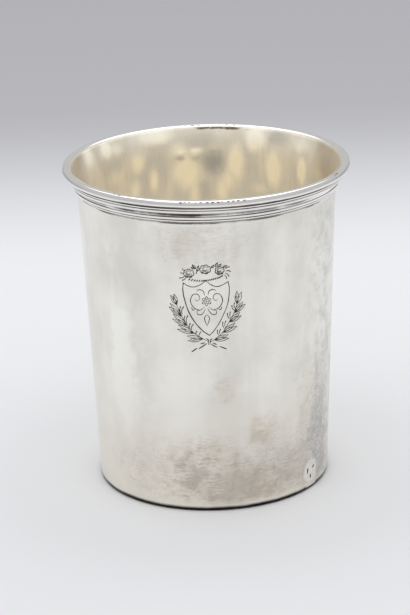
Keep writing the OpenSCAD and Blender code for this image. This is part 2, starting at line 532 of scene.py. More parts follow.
# the gilding: thin gold over silver, rubbed grey between upright golden streaks and patches that are painted
# reflections of the lights
giltFinish = {
    "goldAndSheen": (1.0, 0.875, 0.62, 1),
    "pale": (1.0, 0.955, 0.84, 1),
    "paintedBounce": (0.99, 0.965, 0.90, 1),
    "dull": (0.745, 0.69, 0.59, 1),
    "grey": (0.40, 0.38, 0.35, 1),
    "brown": (0.66, 0.54, 0.37, 1),
    "sideShade": (0.46, 0.375, 0.265, 1),
    "mark": (0.16, 0.125, 0.09, 1),
    "wornFrom": (0.058, 0.068),       # metres up; deeper down the gilding is painted near white to brighten the inside with bounced light
    "wornBack": (-0.02, 0.0),         # metres back; in front of that it is painted near white too
    "paleFrom": (0.078, 0.087),       # metres up
    "rightSide": (0.0275, 0.0325),    # metres across, where the ends of the inside take a brown painted shade
    "leftSide": (-0.0315, -0.0345),
    "metallic": (0.55, 0.0),          # rubbed through, and where the gold is thick and matt, in the painted reflections too
    "roughness": (0.57, 0.64),        # where the gold is kept, and rubbed through
    "bump": (0.12, 0.00002),
    "blobs": (88.0, 0.44, 0.60, 1100.0, 2.0),
    "blobShift": (0.013, 0.0, 0.031),
    "blobStretch": (1.0, 1.0, 0.42),
    "rubbed": ((1500.0, 1500.0, 130.0), 0.55),
    "cornerShade": (420.0, 0.7),
    "blobShare": 0.35,
    "goldAndSheenShare": 1.3,
    "sideShadeShare": 0.75,
    "brownShare": (0.36, 0.12),       # rubbed through, and on thick gold and the painted reflections
    "markShare": 0.06,
}


def makeGilding():
    look = giltFinish
    material, tree, shader, where = startMaterial("rubbedGilding")
    axis = place(tree, "ShaderNodeSeparateXYZ", {"Vector": where}).outputs
    upright = place(tree, "ShaderNodeMapping", {
        "Vector": where, "Location": look["blobShift"], "Scale": look["blobStretch"]}).outputs[0]
    blobs = tarnish(upright, *look["blobs"])
    rubbed = scratched(where, *look["rubbed"])
    high = ramp(axis["Z"], *look["wornFrom"])
    worn = times(high, ramp(axis["Y"], *look["wornBack"]))
    # thick gold and painted reflections of the lights: noise blobs and listed marks
    keptGoldAndSheen = plus(times(blobs["Cloud"], look["blobShare"]),
                times(attribute(tree, "goldAndSheen"), look["goldAndSheenShare"]), clamp=True)
    dull = times(minus(1.0, keptGoldAndSheen), worn)
    colour = mixColour(ramp(axis["Z"], *look["paleFrom"]), look["goldAndSheen"], look["pale"])
    colour = mixColour(dull, colour, look["dull"])
    # below and in front, near-white gilding that brightens the inside with bounced light: painted light
    colour = mixColour(worn, look["paintedBounce"], colour)
    # brown painted shade at the left and right ends of the inside
    side = plus(ramp(axis["X"], *look["rightSide"]), ramp(axis["X"], *look["leftSide"]))
    colour = mixColour(times(times(side, high), look["sideShadeShare"]), colour, look["sideShade"])
    # grey where the gold has gone, with painted shade on the dents' lower side
    colour = mixColour(attribute(tree, "worn"), colour, look["grey"])
    brown = times(rubbed["Mask"], ramp(keptGoldAndSheen, 0.0, 1.0, *look["brownShare"]))
    colour = mixColour(brown, colour, look["brown"])
    colour = mixColour(times(blobs["Speck"], look["markShare"]), colour, look["mark"])
    # painted shade under the lip and in the bottom corner, in the mark colour
    colour = mixColour(dirtAndShadeIn(where, "grimeAndShade", *look["cornerShade"]), colour, look["mark"])
    tree.links.new(ramp(keptGoldAndSheen, 0.0, 1.0, *look["metallic"]), shader.inputs["Metallic"])
    rough = ramp(dull, 0.0, 1.0, *look["roughness"])
    return finishMaterial(material, shader, colour, rough, rubbed["Height"], *look["bump"])


# the base's silver: duller, with rings from turning, scratches from the table, and painted shade with grime at
# its edge under the wall
baseFinish = {
    "clean": (0.80, 0.775, 0.735, 1),
    "dull": (0.46, 0.41, 0.355, 1),
    "grimeAndShade": (0.05, 0.042, 0.035, 1),
    "roughness": (0.3, 0.5),
    "bump": (0.1, 0.00003),
    "clouds": (90.0, 0.4, 0.7, 1300.0),
    "scuffs": ((90.0, 1600.0, 90.0), 0.56),
    "rings": {"Scale": 900.0, "Distortion": 0.6, "Detail": 2.0},
    "edgeGrimeAndShade": (160.0, 0.3),
    "scuffShare": 0.35,
}


def makeBaseSilver():
    look = baseFinish
    material, tree, shader, where = startMaterial("tableWornSilver")
    clouds = tarnish(where, *look["clouds"])
    scuffs = scratched(where, *look["scuffs"])
    rings = place(tree, "ShaderNodeTexWave", {"Vector": where, **look["rings"]},
                  wave_type="RINGS", rings_direction="Z")
    colour = mixColour(clouds["Cloud"], look["clean"], look["dull"])
    colour = mixColour(times(scuffs["Mask"], look["scuffShare"]), colour, look["clean"])
    colour = mixColour(dirtAndShadeIn(where, "grimeAndShade", *look["edgeGrimeAndShade"]), colour, look["grimeAndShade"])
    rough = ramp(clouds["Cloud"], 0.0, 1.0, *look["roughness"])
    return finishMaterial(material, shader, colour, rough, rings.outputs["Fac"], *look["bump"])


# solder: a shade yellower and greyer than the silver it joins
solderFinish = {
    "bright": (0.84, 0.80, 0.72, 1),
    "dull": (0.50, 0.455, 0.39, 1),
    "roughness": (0.28, 0.5),
    "bump": (0.25, 0.00003),
    "clouds": (260.0, 0.36, 0.66, 2400.0),
    "speckShare": 0.5,
}


def makeSolder():
    look = solderFinish
    material, tree, shader, where = startMaterial("greySolder")
    clouds = tarnish(where, *look["clouds"])
    dull = plus(clouds["Cloud"], times(clouds["Speck"], look["speckShare"]), clamp=True)
    colour = mixColour(dull, look["bright"], look["dull"])
    rough = ramp(dull, 0.0, 1.0, *look["roughness"])
    return finishMaterial(material, shader, colour, rough, clouds["Speck"], *look["bump"])


wallSilver = makeWallSilver()
rimSilver = makeRimSilver()
gilding = makeGilding()
baseSilver = makeBaseSilver()
solder = makeSolder()
print("materials ready")

# the engraved front: places in millimetres, across the wall from the crest's own axis and up from the table
crest = {
    "turn": -1.55,        # degrees from the front
    "radius": 33.24,      # of the wall at the crest's middle
    "cutDepth": 0.45,     # depth of a cut for its half width
    "hair": 0.2,          # widths of the cuts
    "fine": 0.26,
    "plain": 0.32,
    "bold": 0.42,
    "spacing": 0.045,     # of points along a cut
    "darkFrom": 0.55,     # share of a cut's half width, in from its edge
    "reach": (1.8, 0.9, 0.45, 0.22),   # how near to a cut the wall is divided once more
}

cutPoints = []  # across, up, half width


def engraveLine(points, width, ends=0.3):
    knots = [Vector((x, z, 0)) for x, z in points]
    padded = [knots[0] * 2 - knots[1]] + knots + [knots[-1] * 2 - knots[-2]]
    track = []
    for before, a, b, after in zip(padded, padded[1:], padded[2:], padded[3:]):
        count = max(3, int((b - a).length / crest["spacing"]))
        track += interpolate_bezier(a, a + (b - before) / 6, b - (after - a) / 6, b, count)
    for index, spot in enumerate(track):
        swell = max(0.0, math.sin(math.pi * index / (len(track) - 1))) ** 0.6
        cutPoints.append((spot.x, spot.y, width / 2 * (ends + (1 - ends) * swell)))


def engraveDot(x, z, width):
    engraveLine(((x - 0.06, z - 0.04), (x + 0.06, z + 0.04)), width, ends=1.0)


def engraveLeaf(root, tip, breadth):
    root, tip = Vector(root), Vector(tip)
    run = tip - root
    side = Vector((-run.y, run.x)).normalized() * breadth / 2
    for hand in (1, -1):
        engraveLine((root, root + run * 0.38 + side * hand, root + run * 0.75 + side * hand * 0.8,
                     tip), crest["fine"], 0.6)
    engraveLine((root, root + run * 0.36), crest["plain"], 0.15)
    engraveLine((root + run * 0.32, root + run * 0.62 + side * 0.2, root + run * 0.86), crest["hair"], 0.6)
    engraveDot(*tip, crest["plain"])


def engraveBud(root, tip):
    root, tip = Vector(root), Vector(tip)
    bow = Vector((root.y - tip.y, tip.x - root.x)) * 0.12
    engraveLine((root, (root + tip) / 2 + bow, tip), crest["plain"])
    engraveLine((tip * 0.8 + root * 0.2, tip), crest["bold"], 0.5)


laurel = {
    "stems": (
        ((0.3, 48.2), (-1.0, 49.0), (-3.4, 50.6), (-5.2, 52.7), (-6.5, 55.2), (-7.7, 58.2), (-8.0, 58.9)),
        ((0.8, 48.2), (1.8, 48.8), (3.9, 50.6), (5.6, 53.3), (7.0, 55.8), (7.8, 58.1), (8.0, 59.3))),
    "leaves": (   # a root and its two tips
        ((-1.2, 49.0), (-5.2, 49.8), (-5.0, 48.5)), ((-3.4, 50.6), (-7.4, 52.7), (-7.7, 51.5)),
        ((-5.2, 52.7), (-8.7, 55.6), (-8.9, 54.3)), ((-6.5, 55.1), (-9.4, 58.5), (-9.7, 57.5)),
        ((-7.7, 58.2), (-9.2, 60.7), (-8.3, 61.1)), ((1.7, 48.7), (5.2, 49.9), (5.4, 48.9)),
        ((3.9, 50.6), (7.1, 52.9), (7.6, 52.0)), ((5.7, 53.4), (8.4, 55.7), (8.8, 54.8)),
        ((7.0, 55.8), (9.3, 58.5), (9.9, 57.8)), ((7.8, 58.1), (7.8, 61.5), (9.0, 61.2))),
    "leafBreadth": 0.95,
    "buds": (
        ((-3.0, 50.2), (-2.7, 51.2)), ((-2.2, 49.9), (-1.7, 51.0)),
        ((-4.6, 51.9), (-4.4, 53.3)), ((-4.1, 51.6), (-3.6, 53.1)),
        ((-5.5, 53.3), (-5.8, 55.3)), ((-5.2, 53.0), (-5.0, 55.5)),
        ((-6.7, 56.0), (-6.8, 57.9)), ((-6.4, 55.6), (-6.0, 57.9)),
        ((-7.7, 58.2), (-7.5, 59.6)),
        ((2.9, 49.9), (2.6, 51.4)), ((3.2, 50.1), (3.4, 51.6)),
        ((4.5, 51.6), (4.0, 53.6)), ((4.7, 51.9), (4.8, 53.8)),
        ((6.0, 54.1), (5.2, 55.9)), ((6.2, 54.4), (6.0, 56.2)),
        ((7.2, 56.4), (6.4, 57.9)), ((7.4, 56.9), (7.1, 58.6)),
        ((7.8, 58.4), (7.4, 60.3))),
    "stalks": (
        ((-0.2, 47.8), (-1.2, 47.1), (-2.4, 46.3)), ((-2.8, 46.5), (-4.3, 45.4)),
        ((0.9, 47.6), (1.7, 47.0), (2.5, 46.6)), ((3.0, 46.9), (4.9, 46.0)),
        ((-1.9, 47.7), (-0.7, 48.0)), ((1.3, 47.9), (2.3, 47.4))),
    "tie": (((0.3, 48.9), (0.15, 47.3)), ((0.75, 49.0), (0.55, 47.3)),
            ((-0.3, 49.2), (0.2, 48.6)), ((1.2, 49.2), (0.8, 48.6))),
}

for stem in laurel["stems"]:
    engraveLine(stem, crest["fine"], 0.7)
for root, *tips in laurel["leaves"]:
    for tip in tips:
        engraveLeaf(root, tip, laurel["leafBreadth"])
for root, tip in laurel["buds"]:
    engraveBud(root, tip)
for stalk in laurel["stalks"]:
    engraveLine(stalk, crest["bold"], 0.45)
for cord in laurel["tie"]:
    engraveLine(cord, crest["plain"], 0.5)

shield = {
    "left": ((-5.8, 64.4), (-5.95, 62.4), (-5.65, 60.0), (-4.7, 56.6), (-3.1, 53.6), (-1.3, 51.4), (0.5, 50.0)),
    "right": ((5.6, 64.5), (5.9, 62.4), (5.5, 58.9), (4.5, 56.1), (3.1, 53.3), (1.6, 51.1), (0.5, 50.0)),
    "top": (((-5.8, 64.4), (-4.8, 63.7), (-3.3, 63.3), (-1.5, 63.9), (0.0, 65.0)),
            ((0.0, 65.0), (1.2, 63.9), (2.7, 63.3), (4.2, 63.7), (5.6, 64.5))),
}

engraveLine(shield["left"], crest["bold"], 0.8)
engraveLine(shield["right"], crest["plain"], 0.9)
for scoop in shield["top"]:
    engraveLine(scoop, crest["plain"], 0.6)

# plain mirrored scrolls fill the shield
scrolls = {
    "flower": (0.0, 59.4),
    "petals": 6,
    "petalReach": (0.42, 1.25),
    "curls": (
        ((0.5, 57.9), (1.7, 57.0), (3.3, 57.7), (4.1, 59.4), (3.5, 61.1), (2.2, 61.3), (1.7, 60.2),
         (2.4, 59.5), (2.9, 60.0)),
        ((0.4, 61.0), (0.8, 62.2), (1.8, 62.6), (2.5, 62.1)),
        ((0.3, 57.3), (1.2, 55.9), (2.3, 55.8), (2.5, 56.7), (1.8, 56.9)),
        ((0.1, 55.7), (0.65, 54.6), (0.0, 52.6)),
        ((2.9, 57.2), (3.6, 57.0), (3.9, 57.8)),
    ),
}

flowerAt = Vector(scrolls["flower"])
for petal in range(scrolls["petals"]):
    aim = 2 * math.pi * petal / scrolls["petals"]
    near, far = (Vector((math.sin(aim), math.cos(aim))) * reach for reach in scrolls["petalReach"])
    across = Vector((near.y, -near.x)) * 0.75
    engraveLine((flowerAt + near, flowerAt + (near + far) / 2 + across, flowerAt + far,
                 flowerAt + (near + far) / 2 - across, flowerAt + near), crest["fine"], 0.8)
engraveDot(*flowerAt, crest["bold"])
for curl in scrolls["curls"]:
    for hand in (1, -1):
        engraveLine([(x * hand, z) for x, z in curl], crest["plain"], 0.35)

crown = {
    "rope": ((-4.5, 65.4), (-2.6, 65.0), (-0.9, 64.95), (0.2, 65.0), (1.8, 65.3), (3.4, 65.7), (4.3, 66.2)),
    "ropeTurns": 17,
    # middle, half sizes and turn
    "roses": (((-4.3, 67.0), (1.35, 1.15), 0.2), ((-0.1, 68.05), (1.4, 1.2), 0.0),
              ((3.5, 67.6), (1.15, 1.1), -0.5)),
    "ropeStroke": ((-0.22, -0.2), (0.2, 0.24)),
    "rosePetals": 7,
    "petalNotch": 0.86,                    # shares of a rose's size
    "whorls": ((0.62, 0.4), (0.33, 2.2)),  # share and start of the two inner rings, in radians
    "roseShade": (0.84, (3.7, 4.2, 4.7, 5.2, 5.7)),
    "roseStrokes": 4,
    "buds": (
        ((-5.2, 67.6), (-5.9, 68.2)), ((-5.5, 67.1), (-6.4, 67.1)), ((-5.2, 66.4), (-6.7, 65.6)),
        ((-4.9, 66.1), (-6.0, 65.0)), ((4.9, 67.9), (6.0, 68.5)), ((5.1, 67.4), (6.3, 67.2)),
        ((4.9, 66.8), (5.9, 65.9)), ((4.6, 66.4), (5.3, 65.3)), ((-2.4, 68.2), (-2.4, 66.9))),
    "leaves": (((-2.4, 68.2), (-3.3, 69.3)), ((-2.7, 68.3), (-3.6, 68.6)), ((1.5, 68.4), (2.1, 69.1)),
               ((2.4, 68.6), (3.0, 69.7)), ((3.0, 68.5), (3.9, 69.3)), ((-2.0, 67.5), (-1.8, 69.0)),
               ((4.3, 68.3), (5.3, 68.8))),
    "leafBreadth": 0.5,
}

ropeKnots = [Vector(p) for p in crown["rope"]]
for turnIndex in range(crown["ropeTurns"]):
    spot = (turnIndex + 0.5) / crown["ropeTurns"] * (len(ropeKnots) - 1)
    share = spot - int(spot)
    middle = ropeKnots[int(spot)].lerp(ropeKnots[int(spot) + 1], share)
    engraveLine([middle + Vector(end) for end in crown["ropeStroke"]], crest["bold"], 0.5)


def onRose(rose, aim, share):  # a point on an oval of the rose's form
    middle, (wide, tall), _ = rose
    return Vector(middle) + Vector((math.cos(aim) * wide, math.sin(aim) * tall)) * share


for rose in crown["roses"]:
    middle, (wide, tall), tilt = rose
    rim = []
    for step in range(crown["rosePetals"] * 3 + 1):
        aim = 2 * math.pi * step / (crown["rosePetals"] * 3) + tilt
        rim.append(onRose(rose, aim, 1.0 if step % 3 else crown["petalNotch"]))
    engraveLine(rim, crest["plain"], 0.9)
    for share, start in crown["whorls"]:
        whorl = [onRose(rose, start + step * 0.55, share * (1 - 0.03 * step)) for step in range(10)]
        engraveLine(whorl, crest["fine"], 0.5)
    share, aims = crown["roseShade"]
    engraveLine([onRose(rose, aim, share) for aim in aims], crest["bold"], 0.2)
    for stroke in range(crown["roseStrokes"]):
        low = Vector(middle) + Vector((wide * (0.3 * stroke - 0.55), -tall * 0.62))
        engraveLine((low, low + Vector((wide * 0.24, tall * 0.55))), crest["hair"], 0.5)
for root, tip in crown["buds"]:
    engraveBud(root, tip)
for root, tip in crown["leaves"]:
    engraveLeaf(root, tip, crown["leafBreadth"])
print("engraving drawn with", len(cutPoints), "points")

# a worn punch low on the right
punch = {
    "turn": 55.6,
    "middle": 5.2,
    "half": (3.6, 3.4),       # the rubbed oval round it
    "sink": 0.07,
    "sunkEdge": (0.7, 1.0),   # shares of that oval
    "rubbedEdge": (0.75, 1.1),
    "nicks": (((-1.3, 0.9), (-1.5, -0.4)), ((1.2, 0.5), (1.9, 0.9)), ((0.0, -1.2), (0.1, -2.1))),
    "nickWidth": 0.9,
}

punchAcross = math.radians(punch["turn"] - crest["turn"]) * crest["radius"]
for a, b in punch["nicks"]:
    engraveLine([(punchAcross + x, punch["middle"] + z) for x, z in (a, b)], punch["nickWidth"], 0.6)

cutTree = KDTree(len(cutPoints))
for index, (x, z, half) in enumerate(cutPoints):
    cutTree.insert((x, z, 0), index)
cutTree.balance()
widestCut = max(half for x, z, half in cutPoints)


def onWall(co):  # a point of the wall as across and up, in millimetres
    return Vector((math.radians(fromFront(co) - crest["turn"]) * crest["radius"], co.z / mm, 0))


def inPunch(spot):  # 0 at the middle of the punch, 1 at its edge
    return math.hypot((spot.x - punchAcross) / punch["half"][0],
                      (spot.y - punch["middle"]) / punch["half"][1])


bodyWall = {
    "steps": 170,
    "rings": 64,
    "seam": 0.3,
    "wobble": 0.045,      # millimetres
    "wobbleSize": (11.0, 26.0),
    # heights where the painted contact shadow along the foot's edge fades out
    "shadeTop": (0.45, 0.8),
    # degrees from the front, height, size, depth
    "dents": ((-38.0, 22.0, 2.6, 0.05), (31.0, 41.0, 3.2, 0.06), (120.0, 48.0, 3.5, 0.08),
              (-130.0, 30.0, 3.0, 0.07)),
    # stains, rubbed places and painted reflections of the lights (the bright patches): degrees from the front,
    # height, half sizes, strength
    "warmStain": ((-3.4, 76.5, 26.0, 9.0, 0.45), (-37.1, 37.0, 10.0, 15.0, 0.2), (5.7, 33.5, 7.0, 5.0, 0.4),
                  (-5.2, 18.6, 7.0, 4.0, 0.6), (23.4, 21.9, 9.0, 5.0, 0.55), (42.9, 10.4, 14.0, 5.5, 0.3),
                  (-38.0, 9.0, 20.0, 6.0, 0.35), (10.0, 6.5, 40.0, 5.0, 0.7), (-8.0, 12.0, 20.0, 8.0, 0.6),
                  (48.7, 27.7, 6.5, 8.5, 0.4), (130.0, 20.0, 30.0, 14.0, 0.4), (-140.0, 12.0, 36.0, 9.0, 0.5)),
    "greyStain": ((-9.5, 11.1, 10.0, 4.2, 0.5), (64.0, 13.0, 11.0, 12.0, 0.85), (66.0, 63.6, 10.0, 17.0, 0.3),
                  (63.0, 27.0, 8.0, 14.0, 0.35), (150.0, 50.0, 20.0, 20.0, 0.25)),
    # bright patches: painted reflections of the lights, partly rubbed silver
    "rubbedAndSheen": ((-44.9, 38.9, 8.0, 26.0, 0.7), (35.3, 73.9, 14.0, 8.0, 0.4), (36.0, 50.0, 14.0, 20.0, 0.1),
                    (41.0, 17.5, 6.0, 5.0, 0.6), (-170.0, 60.0, 30.0, 20.0, 0.4)),
    "markEdge": (4.0, 0.45, 0.55),     # size of their unevenness, how uneven, how soft
    "plainFoot": 1.15,                 # below this height the wall is left as it was turned
    "fade": (1.2, 6.0, 74.0, 80.0),    # heights between which it is uneven
    "deepestCut": 0.16,
}


def onOutside(co):
    z = co.z / mm
    return bodyWall["plainFoot"] < z < bendFoot(0)[1] and co.xy.length / mm > wallRadius(z, cup["sheet"] / 2)


def drawWall():
    foot, lift, sheet = cup["footRound"], cup["footLift"], cup["sheet"]
    cornerX = wallRadius(lift + foot) - foot / math.cos(taper)
    bm, first = startPen(wallRadius(lift, sheet), lift)
    pen = lineTo(bm, first, cornerX, lift)
    pen = arcTo(bm, pen, (cornerX, lift + foot), math.pi / 2 - taper, 6)
    pen = lineTo(bm, pen, *bendFoot(0), bodyWall["rings"])
    pen = arcTo(bm, pen, bendCentre, taper - flare, 8)
    pen = linesTo(bm, pen, (seatRadius(0), seatZ, 3), (seatRadius(sheet), seatZ), bendHead(sheet))
    pen = arcTo(bm, pen, bendCentre, flare - taper, 6)
    pen = lineTo(bm, pen, *bendFoot(sheet).lerp(Vector((first.co.x, first.co.z)) / mm, 0.98), 10)
    joinPen(bm, pen, first)
    return bm


def refineWall(bm, reach):
    edges = set()
    for face in bm.faces:
        middle = face.calc_center_median()
        if middle.y > 0.01 or not onOutside(middle):  # nothing is engraved on the back
            continue
        spot = onWall(middle)
        punchGap = (inPunch(spot) - 1) * punch["half"][1]
        if min(cutTree.find(spot)[2], punchGap) < reach:
            edges.update(face.edges)
    bmesh.ops.subdivide_edges(bm, edges=list(edges), cuts=1, use_grid_fill=True)
    for vert in bm.verts:
        if onOutside(vert.co):
            moveOut(vert, wallRadius(vert.co.z / mm) - vert.co.xy.length / mm)


def engraveWall(bm):
    engraved, rubbed, grimedAndShaded = addLayers(bm, "engraved", "rubbed", "grimeAndShade")
    stainNames = ("warmStain", "greyStain", "rubbedAndSheen")
    stains = dict(zip(stainNames, addLayers(bm, *stainNames)))
    fadeIn, fadeOut = bodyWall["fade"][:2], bodyWall["fade"][2:]
    for vert in bm.verts:
        z = vert.co.z / mm
        if vert.co.xy.length / mm < wallRadius(z, cup["sheet"] / 2) and z < seatZ - 5:  # inside
            continue
        # painted contact shadow, darkest at the foot's edge
        vert[grimedAndShaded] = 1 - smoothStep(*bodyWall["shadeTop"], z)
        if not onOutside(vert.co):
            continue
        for name, layer in stains.items():
            vert[layer] = inMarks(vert, fromFront(vert.co), bodyWall[name], *bodyWall["markEdge"])
        spot = onWall(vert.co)
        fade = smoothStep(*fadeIn, z) * (1 - smoothStep(*fadeOut, z))
        shift = wobble(vert.co, *bodyWall["wobbleSize"], 3.0) * bodyWall["wobble"] * fade
        for turn, height, size, depth in bodyWall["dents"]:
            away = math.hypot(spot.x - math.radians(turn) * crest["radius"], spot.y - height) / size
            shift -= depth * math.exp(-away * away * 2)
        cutIn = cutDeep = 0.0
        for co, index, distance in cutTree.find_range(spot, widestCut):
            half = cutPoints[index][2]
            cutIn = max(cutIn, 1 - distance / half)
            cutDeep = max(cutDeep, min(half - distance, bodyWall["deepestCut"]))
        vert[engraved] = smoothStep(0.0, crest["darkFrom"], cutIn)
        shift -= cutDeep * crest["cutDepth"]
        sunk = 1 - smoothStep(*punch["sunkEdge"], inPunch(spot))
        vert[rubbed] = 1 - smoothStep(*punch["rubbedEdge"], inPunch(spot))
        moveOut(vert, shift - sunk * punch["sink"])


seamGap = bodyWall["seam"], cup["backAngle"], cup["neckRadius"]
bm = drawWall()
turnSection(bm, bodyWall["steps"], *seamGap)
for reach in crest["reach"]:
    refineWall(bm, reach)
engraveWall(bm)
bmesh.ops.triangulate(bm, faces=[f for f in bm.faces if len(f.verts) > 4])
finishPiece(bm, "bodyWall", wallSilver, "body_wall")

makeJoint(drawWall, *seamGap, "sideSeam", "side_seam")

baseDisc = {
    "thick": 0.9,
    "border": 2.5,
    "slope": 4.0,
    "fillet": 1.0,
    "steps": 160,
    # underneath, from the flat middle's edge and from the border's: out, share of the lift, steps
    "fromMiddle": ((-0.6, 0.0, 10), (0.0, 0.02, 1), (0.6, 0.15, 1)),
    "fromBorder": ((-0.5, 0.88, 4), (0.4, 1.0, 1)),
    "grimeAndShade": (-2.0, 1.5),      # painted shade and grime in the gap under the wall: from the border's edge, none and most
}
edgeInset = cup["sheet"] + cup["jointGap"]
borderRadius = wallRadius(cup["footLift"], edgeInset) - baseDisc["border"]
standRadius = borderRadius - baseDisc["slope"]
borderTop = cup["footLift"] + baseDisc["thick"]


def makeBase():
    lift, thick = cup["footLift"], baseDisc["thick"]
    bm, pen = startPen(0, 0)
    for radius, stops in ((standRadius, baseDisc["fromMiddle"]), (borderRadius, baseDisc["fromBorder"])):
        pen = linesTo(bm, pen, *((radius + out, lift * share, steps) for out, share, steps in stops))
    linesTo(bm, pen, (wallRadius(lift, edgeInset), lift, 2), (wallRadius(borderTop, edgeInset), borderTop),
            (borderRadius, borderTop, 2), (standRadius, thick, 3), (0, thick, 6))
    turnSection(bm, baseDisc["steps"])
    grimedAndShaded = addLayers(bm, "grimeAndShade")[0]
    for vert in bm.verts:
        vert[grimedAndShaded] = smoothStep(*baseDisc["grimeAndShade"], vert.co.xy.length / mm - borderRadius)
    finishPiece(bm, "baseDisc", baseSilver, "base_disc")


def makeBaseSolder():
    lift, sheet, fillet = cup["footLift"], cup["sheet"], baseDisc["fillet"]
    cornerX = wallRadius(borderTop + fillet, sheet) - fillet / math.cos(taper)
    bm, first = startPen(wallRadius(lift, edgeInset), lift)
    pen = linesTo(bm, first, (wallRadius(lift, sheet), lift),
                  (cornerX + fillet * math.cos(taper), borderTop + fillet - fillet * math.sin(taper)))
    pen = arcTo(bm, pen, (cornerX, borderTop + fillet), taper - math.pi / 2, 8)
    pen = lineTo(bm, pen, wallRadius(borderTop, edgeInset), borderTop)
    joinPen(bm, pen, first)
    turnSection(bm, baseDisc["steps"])
    finishPiece(bm, "baseSolder", solder, "base_solder")


makeBase()
makeBaseSolder()

moulding = {
    "strip": 0.6,
    "thread": (0.65, 0.22),   # width and rise
    "bead": (1.0, 0.32),
    "hollow": (1.3, -0.2),
    "groove": 0.18,
    "order": ("groove", "thread", "groove", "bead", "hollow", "bead", "groove", "thread"),
    "fillet": 0.3,
    "steps": 220,
    "wobble": 0.02,
    "wobbleSize": (9.0, 9.0),
    "grooveDirtAndShade": (0.16, 0.06, 0.1),   # painted shade and grime, up from a groove's floor: more at the front, more at the strip's edges
    "frontReach": 45.0,                # degrees
    "hollowDirtAndShade": 0.45,
    "hollowReach": (-0.2, 0.05),
    "dirtAndShade": ((-4.0, 15.0, 0.5), (-36.0, 8.0, 0.5), (40.0, 8.0, 0.45)),   # patches of grime and painted shade in the hollow: degrees from the front, reach, amount
}
threadWide, beadWide, hollowWide = (moulding[k][0] for k in ("thread", "bead", "hollow"))
stripLong = 4 * moulding["groove"] + 2 * threadWide + 2 * beadWide + hollowWide
stripTop = -moulding["strip"] * math.tan(flare)


def onStrip(down, out):  # a place on the reeded strip: down it and out of it
    return Vector((seatRadius(0), seatZ)) - (stripTop + down) * along(flare) + out * outward(flare)


def reedTo(bm, pen, down, wide, rise, steps=8):  # one round reed or hollow across the strip
    radius = (wide * wide / 4 + rise * rise) / (2 * abs(rise))
    side = 1 if rise > 0 else -1
    centre = onStrip(down + wide / 2, moulding["strip"] + rise - side * radius)
    sweep = 2 * math.asin(min(1.0, wide / 2 / radius))
    return arcTo(bm, pen, centre, -side * sweep, steps)


def footOnWall():  # out of the strip, where its lower end meets the wall
    corner = onStrip(stripLong, 0)
    onCone = (wallRadius(corner[1]) - corner[0]) / (math.cos(flare) + math.sin(flare) * math.tan(taper))
    if onStrip(stripLong, onCone)[1] < bendFoot(0)[1]:
        return onCone
    reach = bendCentre - corner  # the bend's centre, out from the strip and along it
    side = reach.dot(along(flare))
    return reach.dot(outward(flare)) - math.sqrt(cup["bendRadius"] ** 2 - side * side)


def drawMoulding():
    groove, floor = moulding["groove"], moulding["strip"]
    bm, first = startPen(*onStrip(0, floor))
    pen, down = first, 0.0
    for name in moulding["order"]:
        if name == "groove":
            down += groove
            pen = lineTo(bm, pen, *onStrip(down, floor))
        else:
            pen = reedTo(bm, pen, down, *moulding[name])
            down += moulding[name][0]
    pen = linesTo(bm, pen, onStrip(stripLong, floor), onStrip(stripLong, footOnWall()), bendFoot(0))
    pen = arcTo(bm, pen, bendCentre, taper - flare, 5)
    pen = lineTo(bm, pen, seatRadius(0), seatZ)
    joinPen(bm, pen, first)
    return bm


# grime and painted shade in the moulding's grooves and hollow, more at the front
def grimeAndShadeStrip(bm):
    grimedAndShaded = addLayers(bm, "grimeAndShade")[0]
    base = Vector((seatRadius(0), seatZ))
    plain, moreFront, moreEdge = moulding["grooveDirtAndShade"]
    for vert in bm.verts:
        rest = Vector((vert.co.xy.length, vert.co.z)) / mm - base
        out = rest.dot(outward(flare)) - moulding["strip"]
        down = -rest.dot(along(flare)) - stripTop
        inHollow = abs(down - stripLong / 2) < hollowWide / 2 - 0.02
        turn = fromFront(vert.co)
        front = math.exp(-(turn / moulding["frontReach"]) ** 2)
        dirtAndShade = sum(amount * math.exp(-((turn - at) / reach) ** 2) for at, reach, amount in moulding["dirtAndShade"])
        atEdge = abs(down - stripLong / 2) > stripLong / 2 - moulding["groove"] * 1.5
        narrow = 1 - smoothStep(0.0, plain + moreFront * front + (moreEdge if atEdge else 0.0), out)
        wide = (moulding["hollowDirtAndShade"] + dirtAndShade) * (1 - smoothStep(*moulding["hollowReach"], out))
        vert[grimedAndShaded] = wide if inHollow else narrow


mouldingGap = cup["jointGap"], cup["backAngle"] + cup["stagger"], cup["lipRadius"]
bm = drawMoulding()
turnSection(bm, moulding["steps"], *mouldingGap)
grimeAndShadeStrip(bm)
for vert in bm.verts:
    moveOut(vert, wobble(vert.co, *moulding["wobbleSize"], 8.0) * moulding["wobble"])
finishPiece(bm, "threadMoulding", rimSilver, "thread_moulding", sharp=50.0)

makeJoint(drawMoulding, *mouldingGap, "mouldingJoint", "moulding_joint")


def makeMouldingSolder():
    crease = footOnWall()
    low = onStrip(stripLong + moulding["fillet"], crease)
    bm, first = startPen(*onStrip(stripLong, moulding["strip"]))
    joinPen(bm, linesTo(bm, first, onStrip(stripLong, crease), (wallRadius(low[1]), low[1])), first)
    turnSection(bm, moulding["steps"])
    finishPiece(bm, "mouldingSolder", solder, "moulding_solder")


makeMouldingSolder()

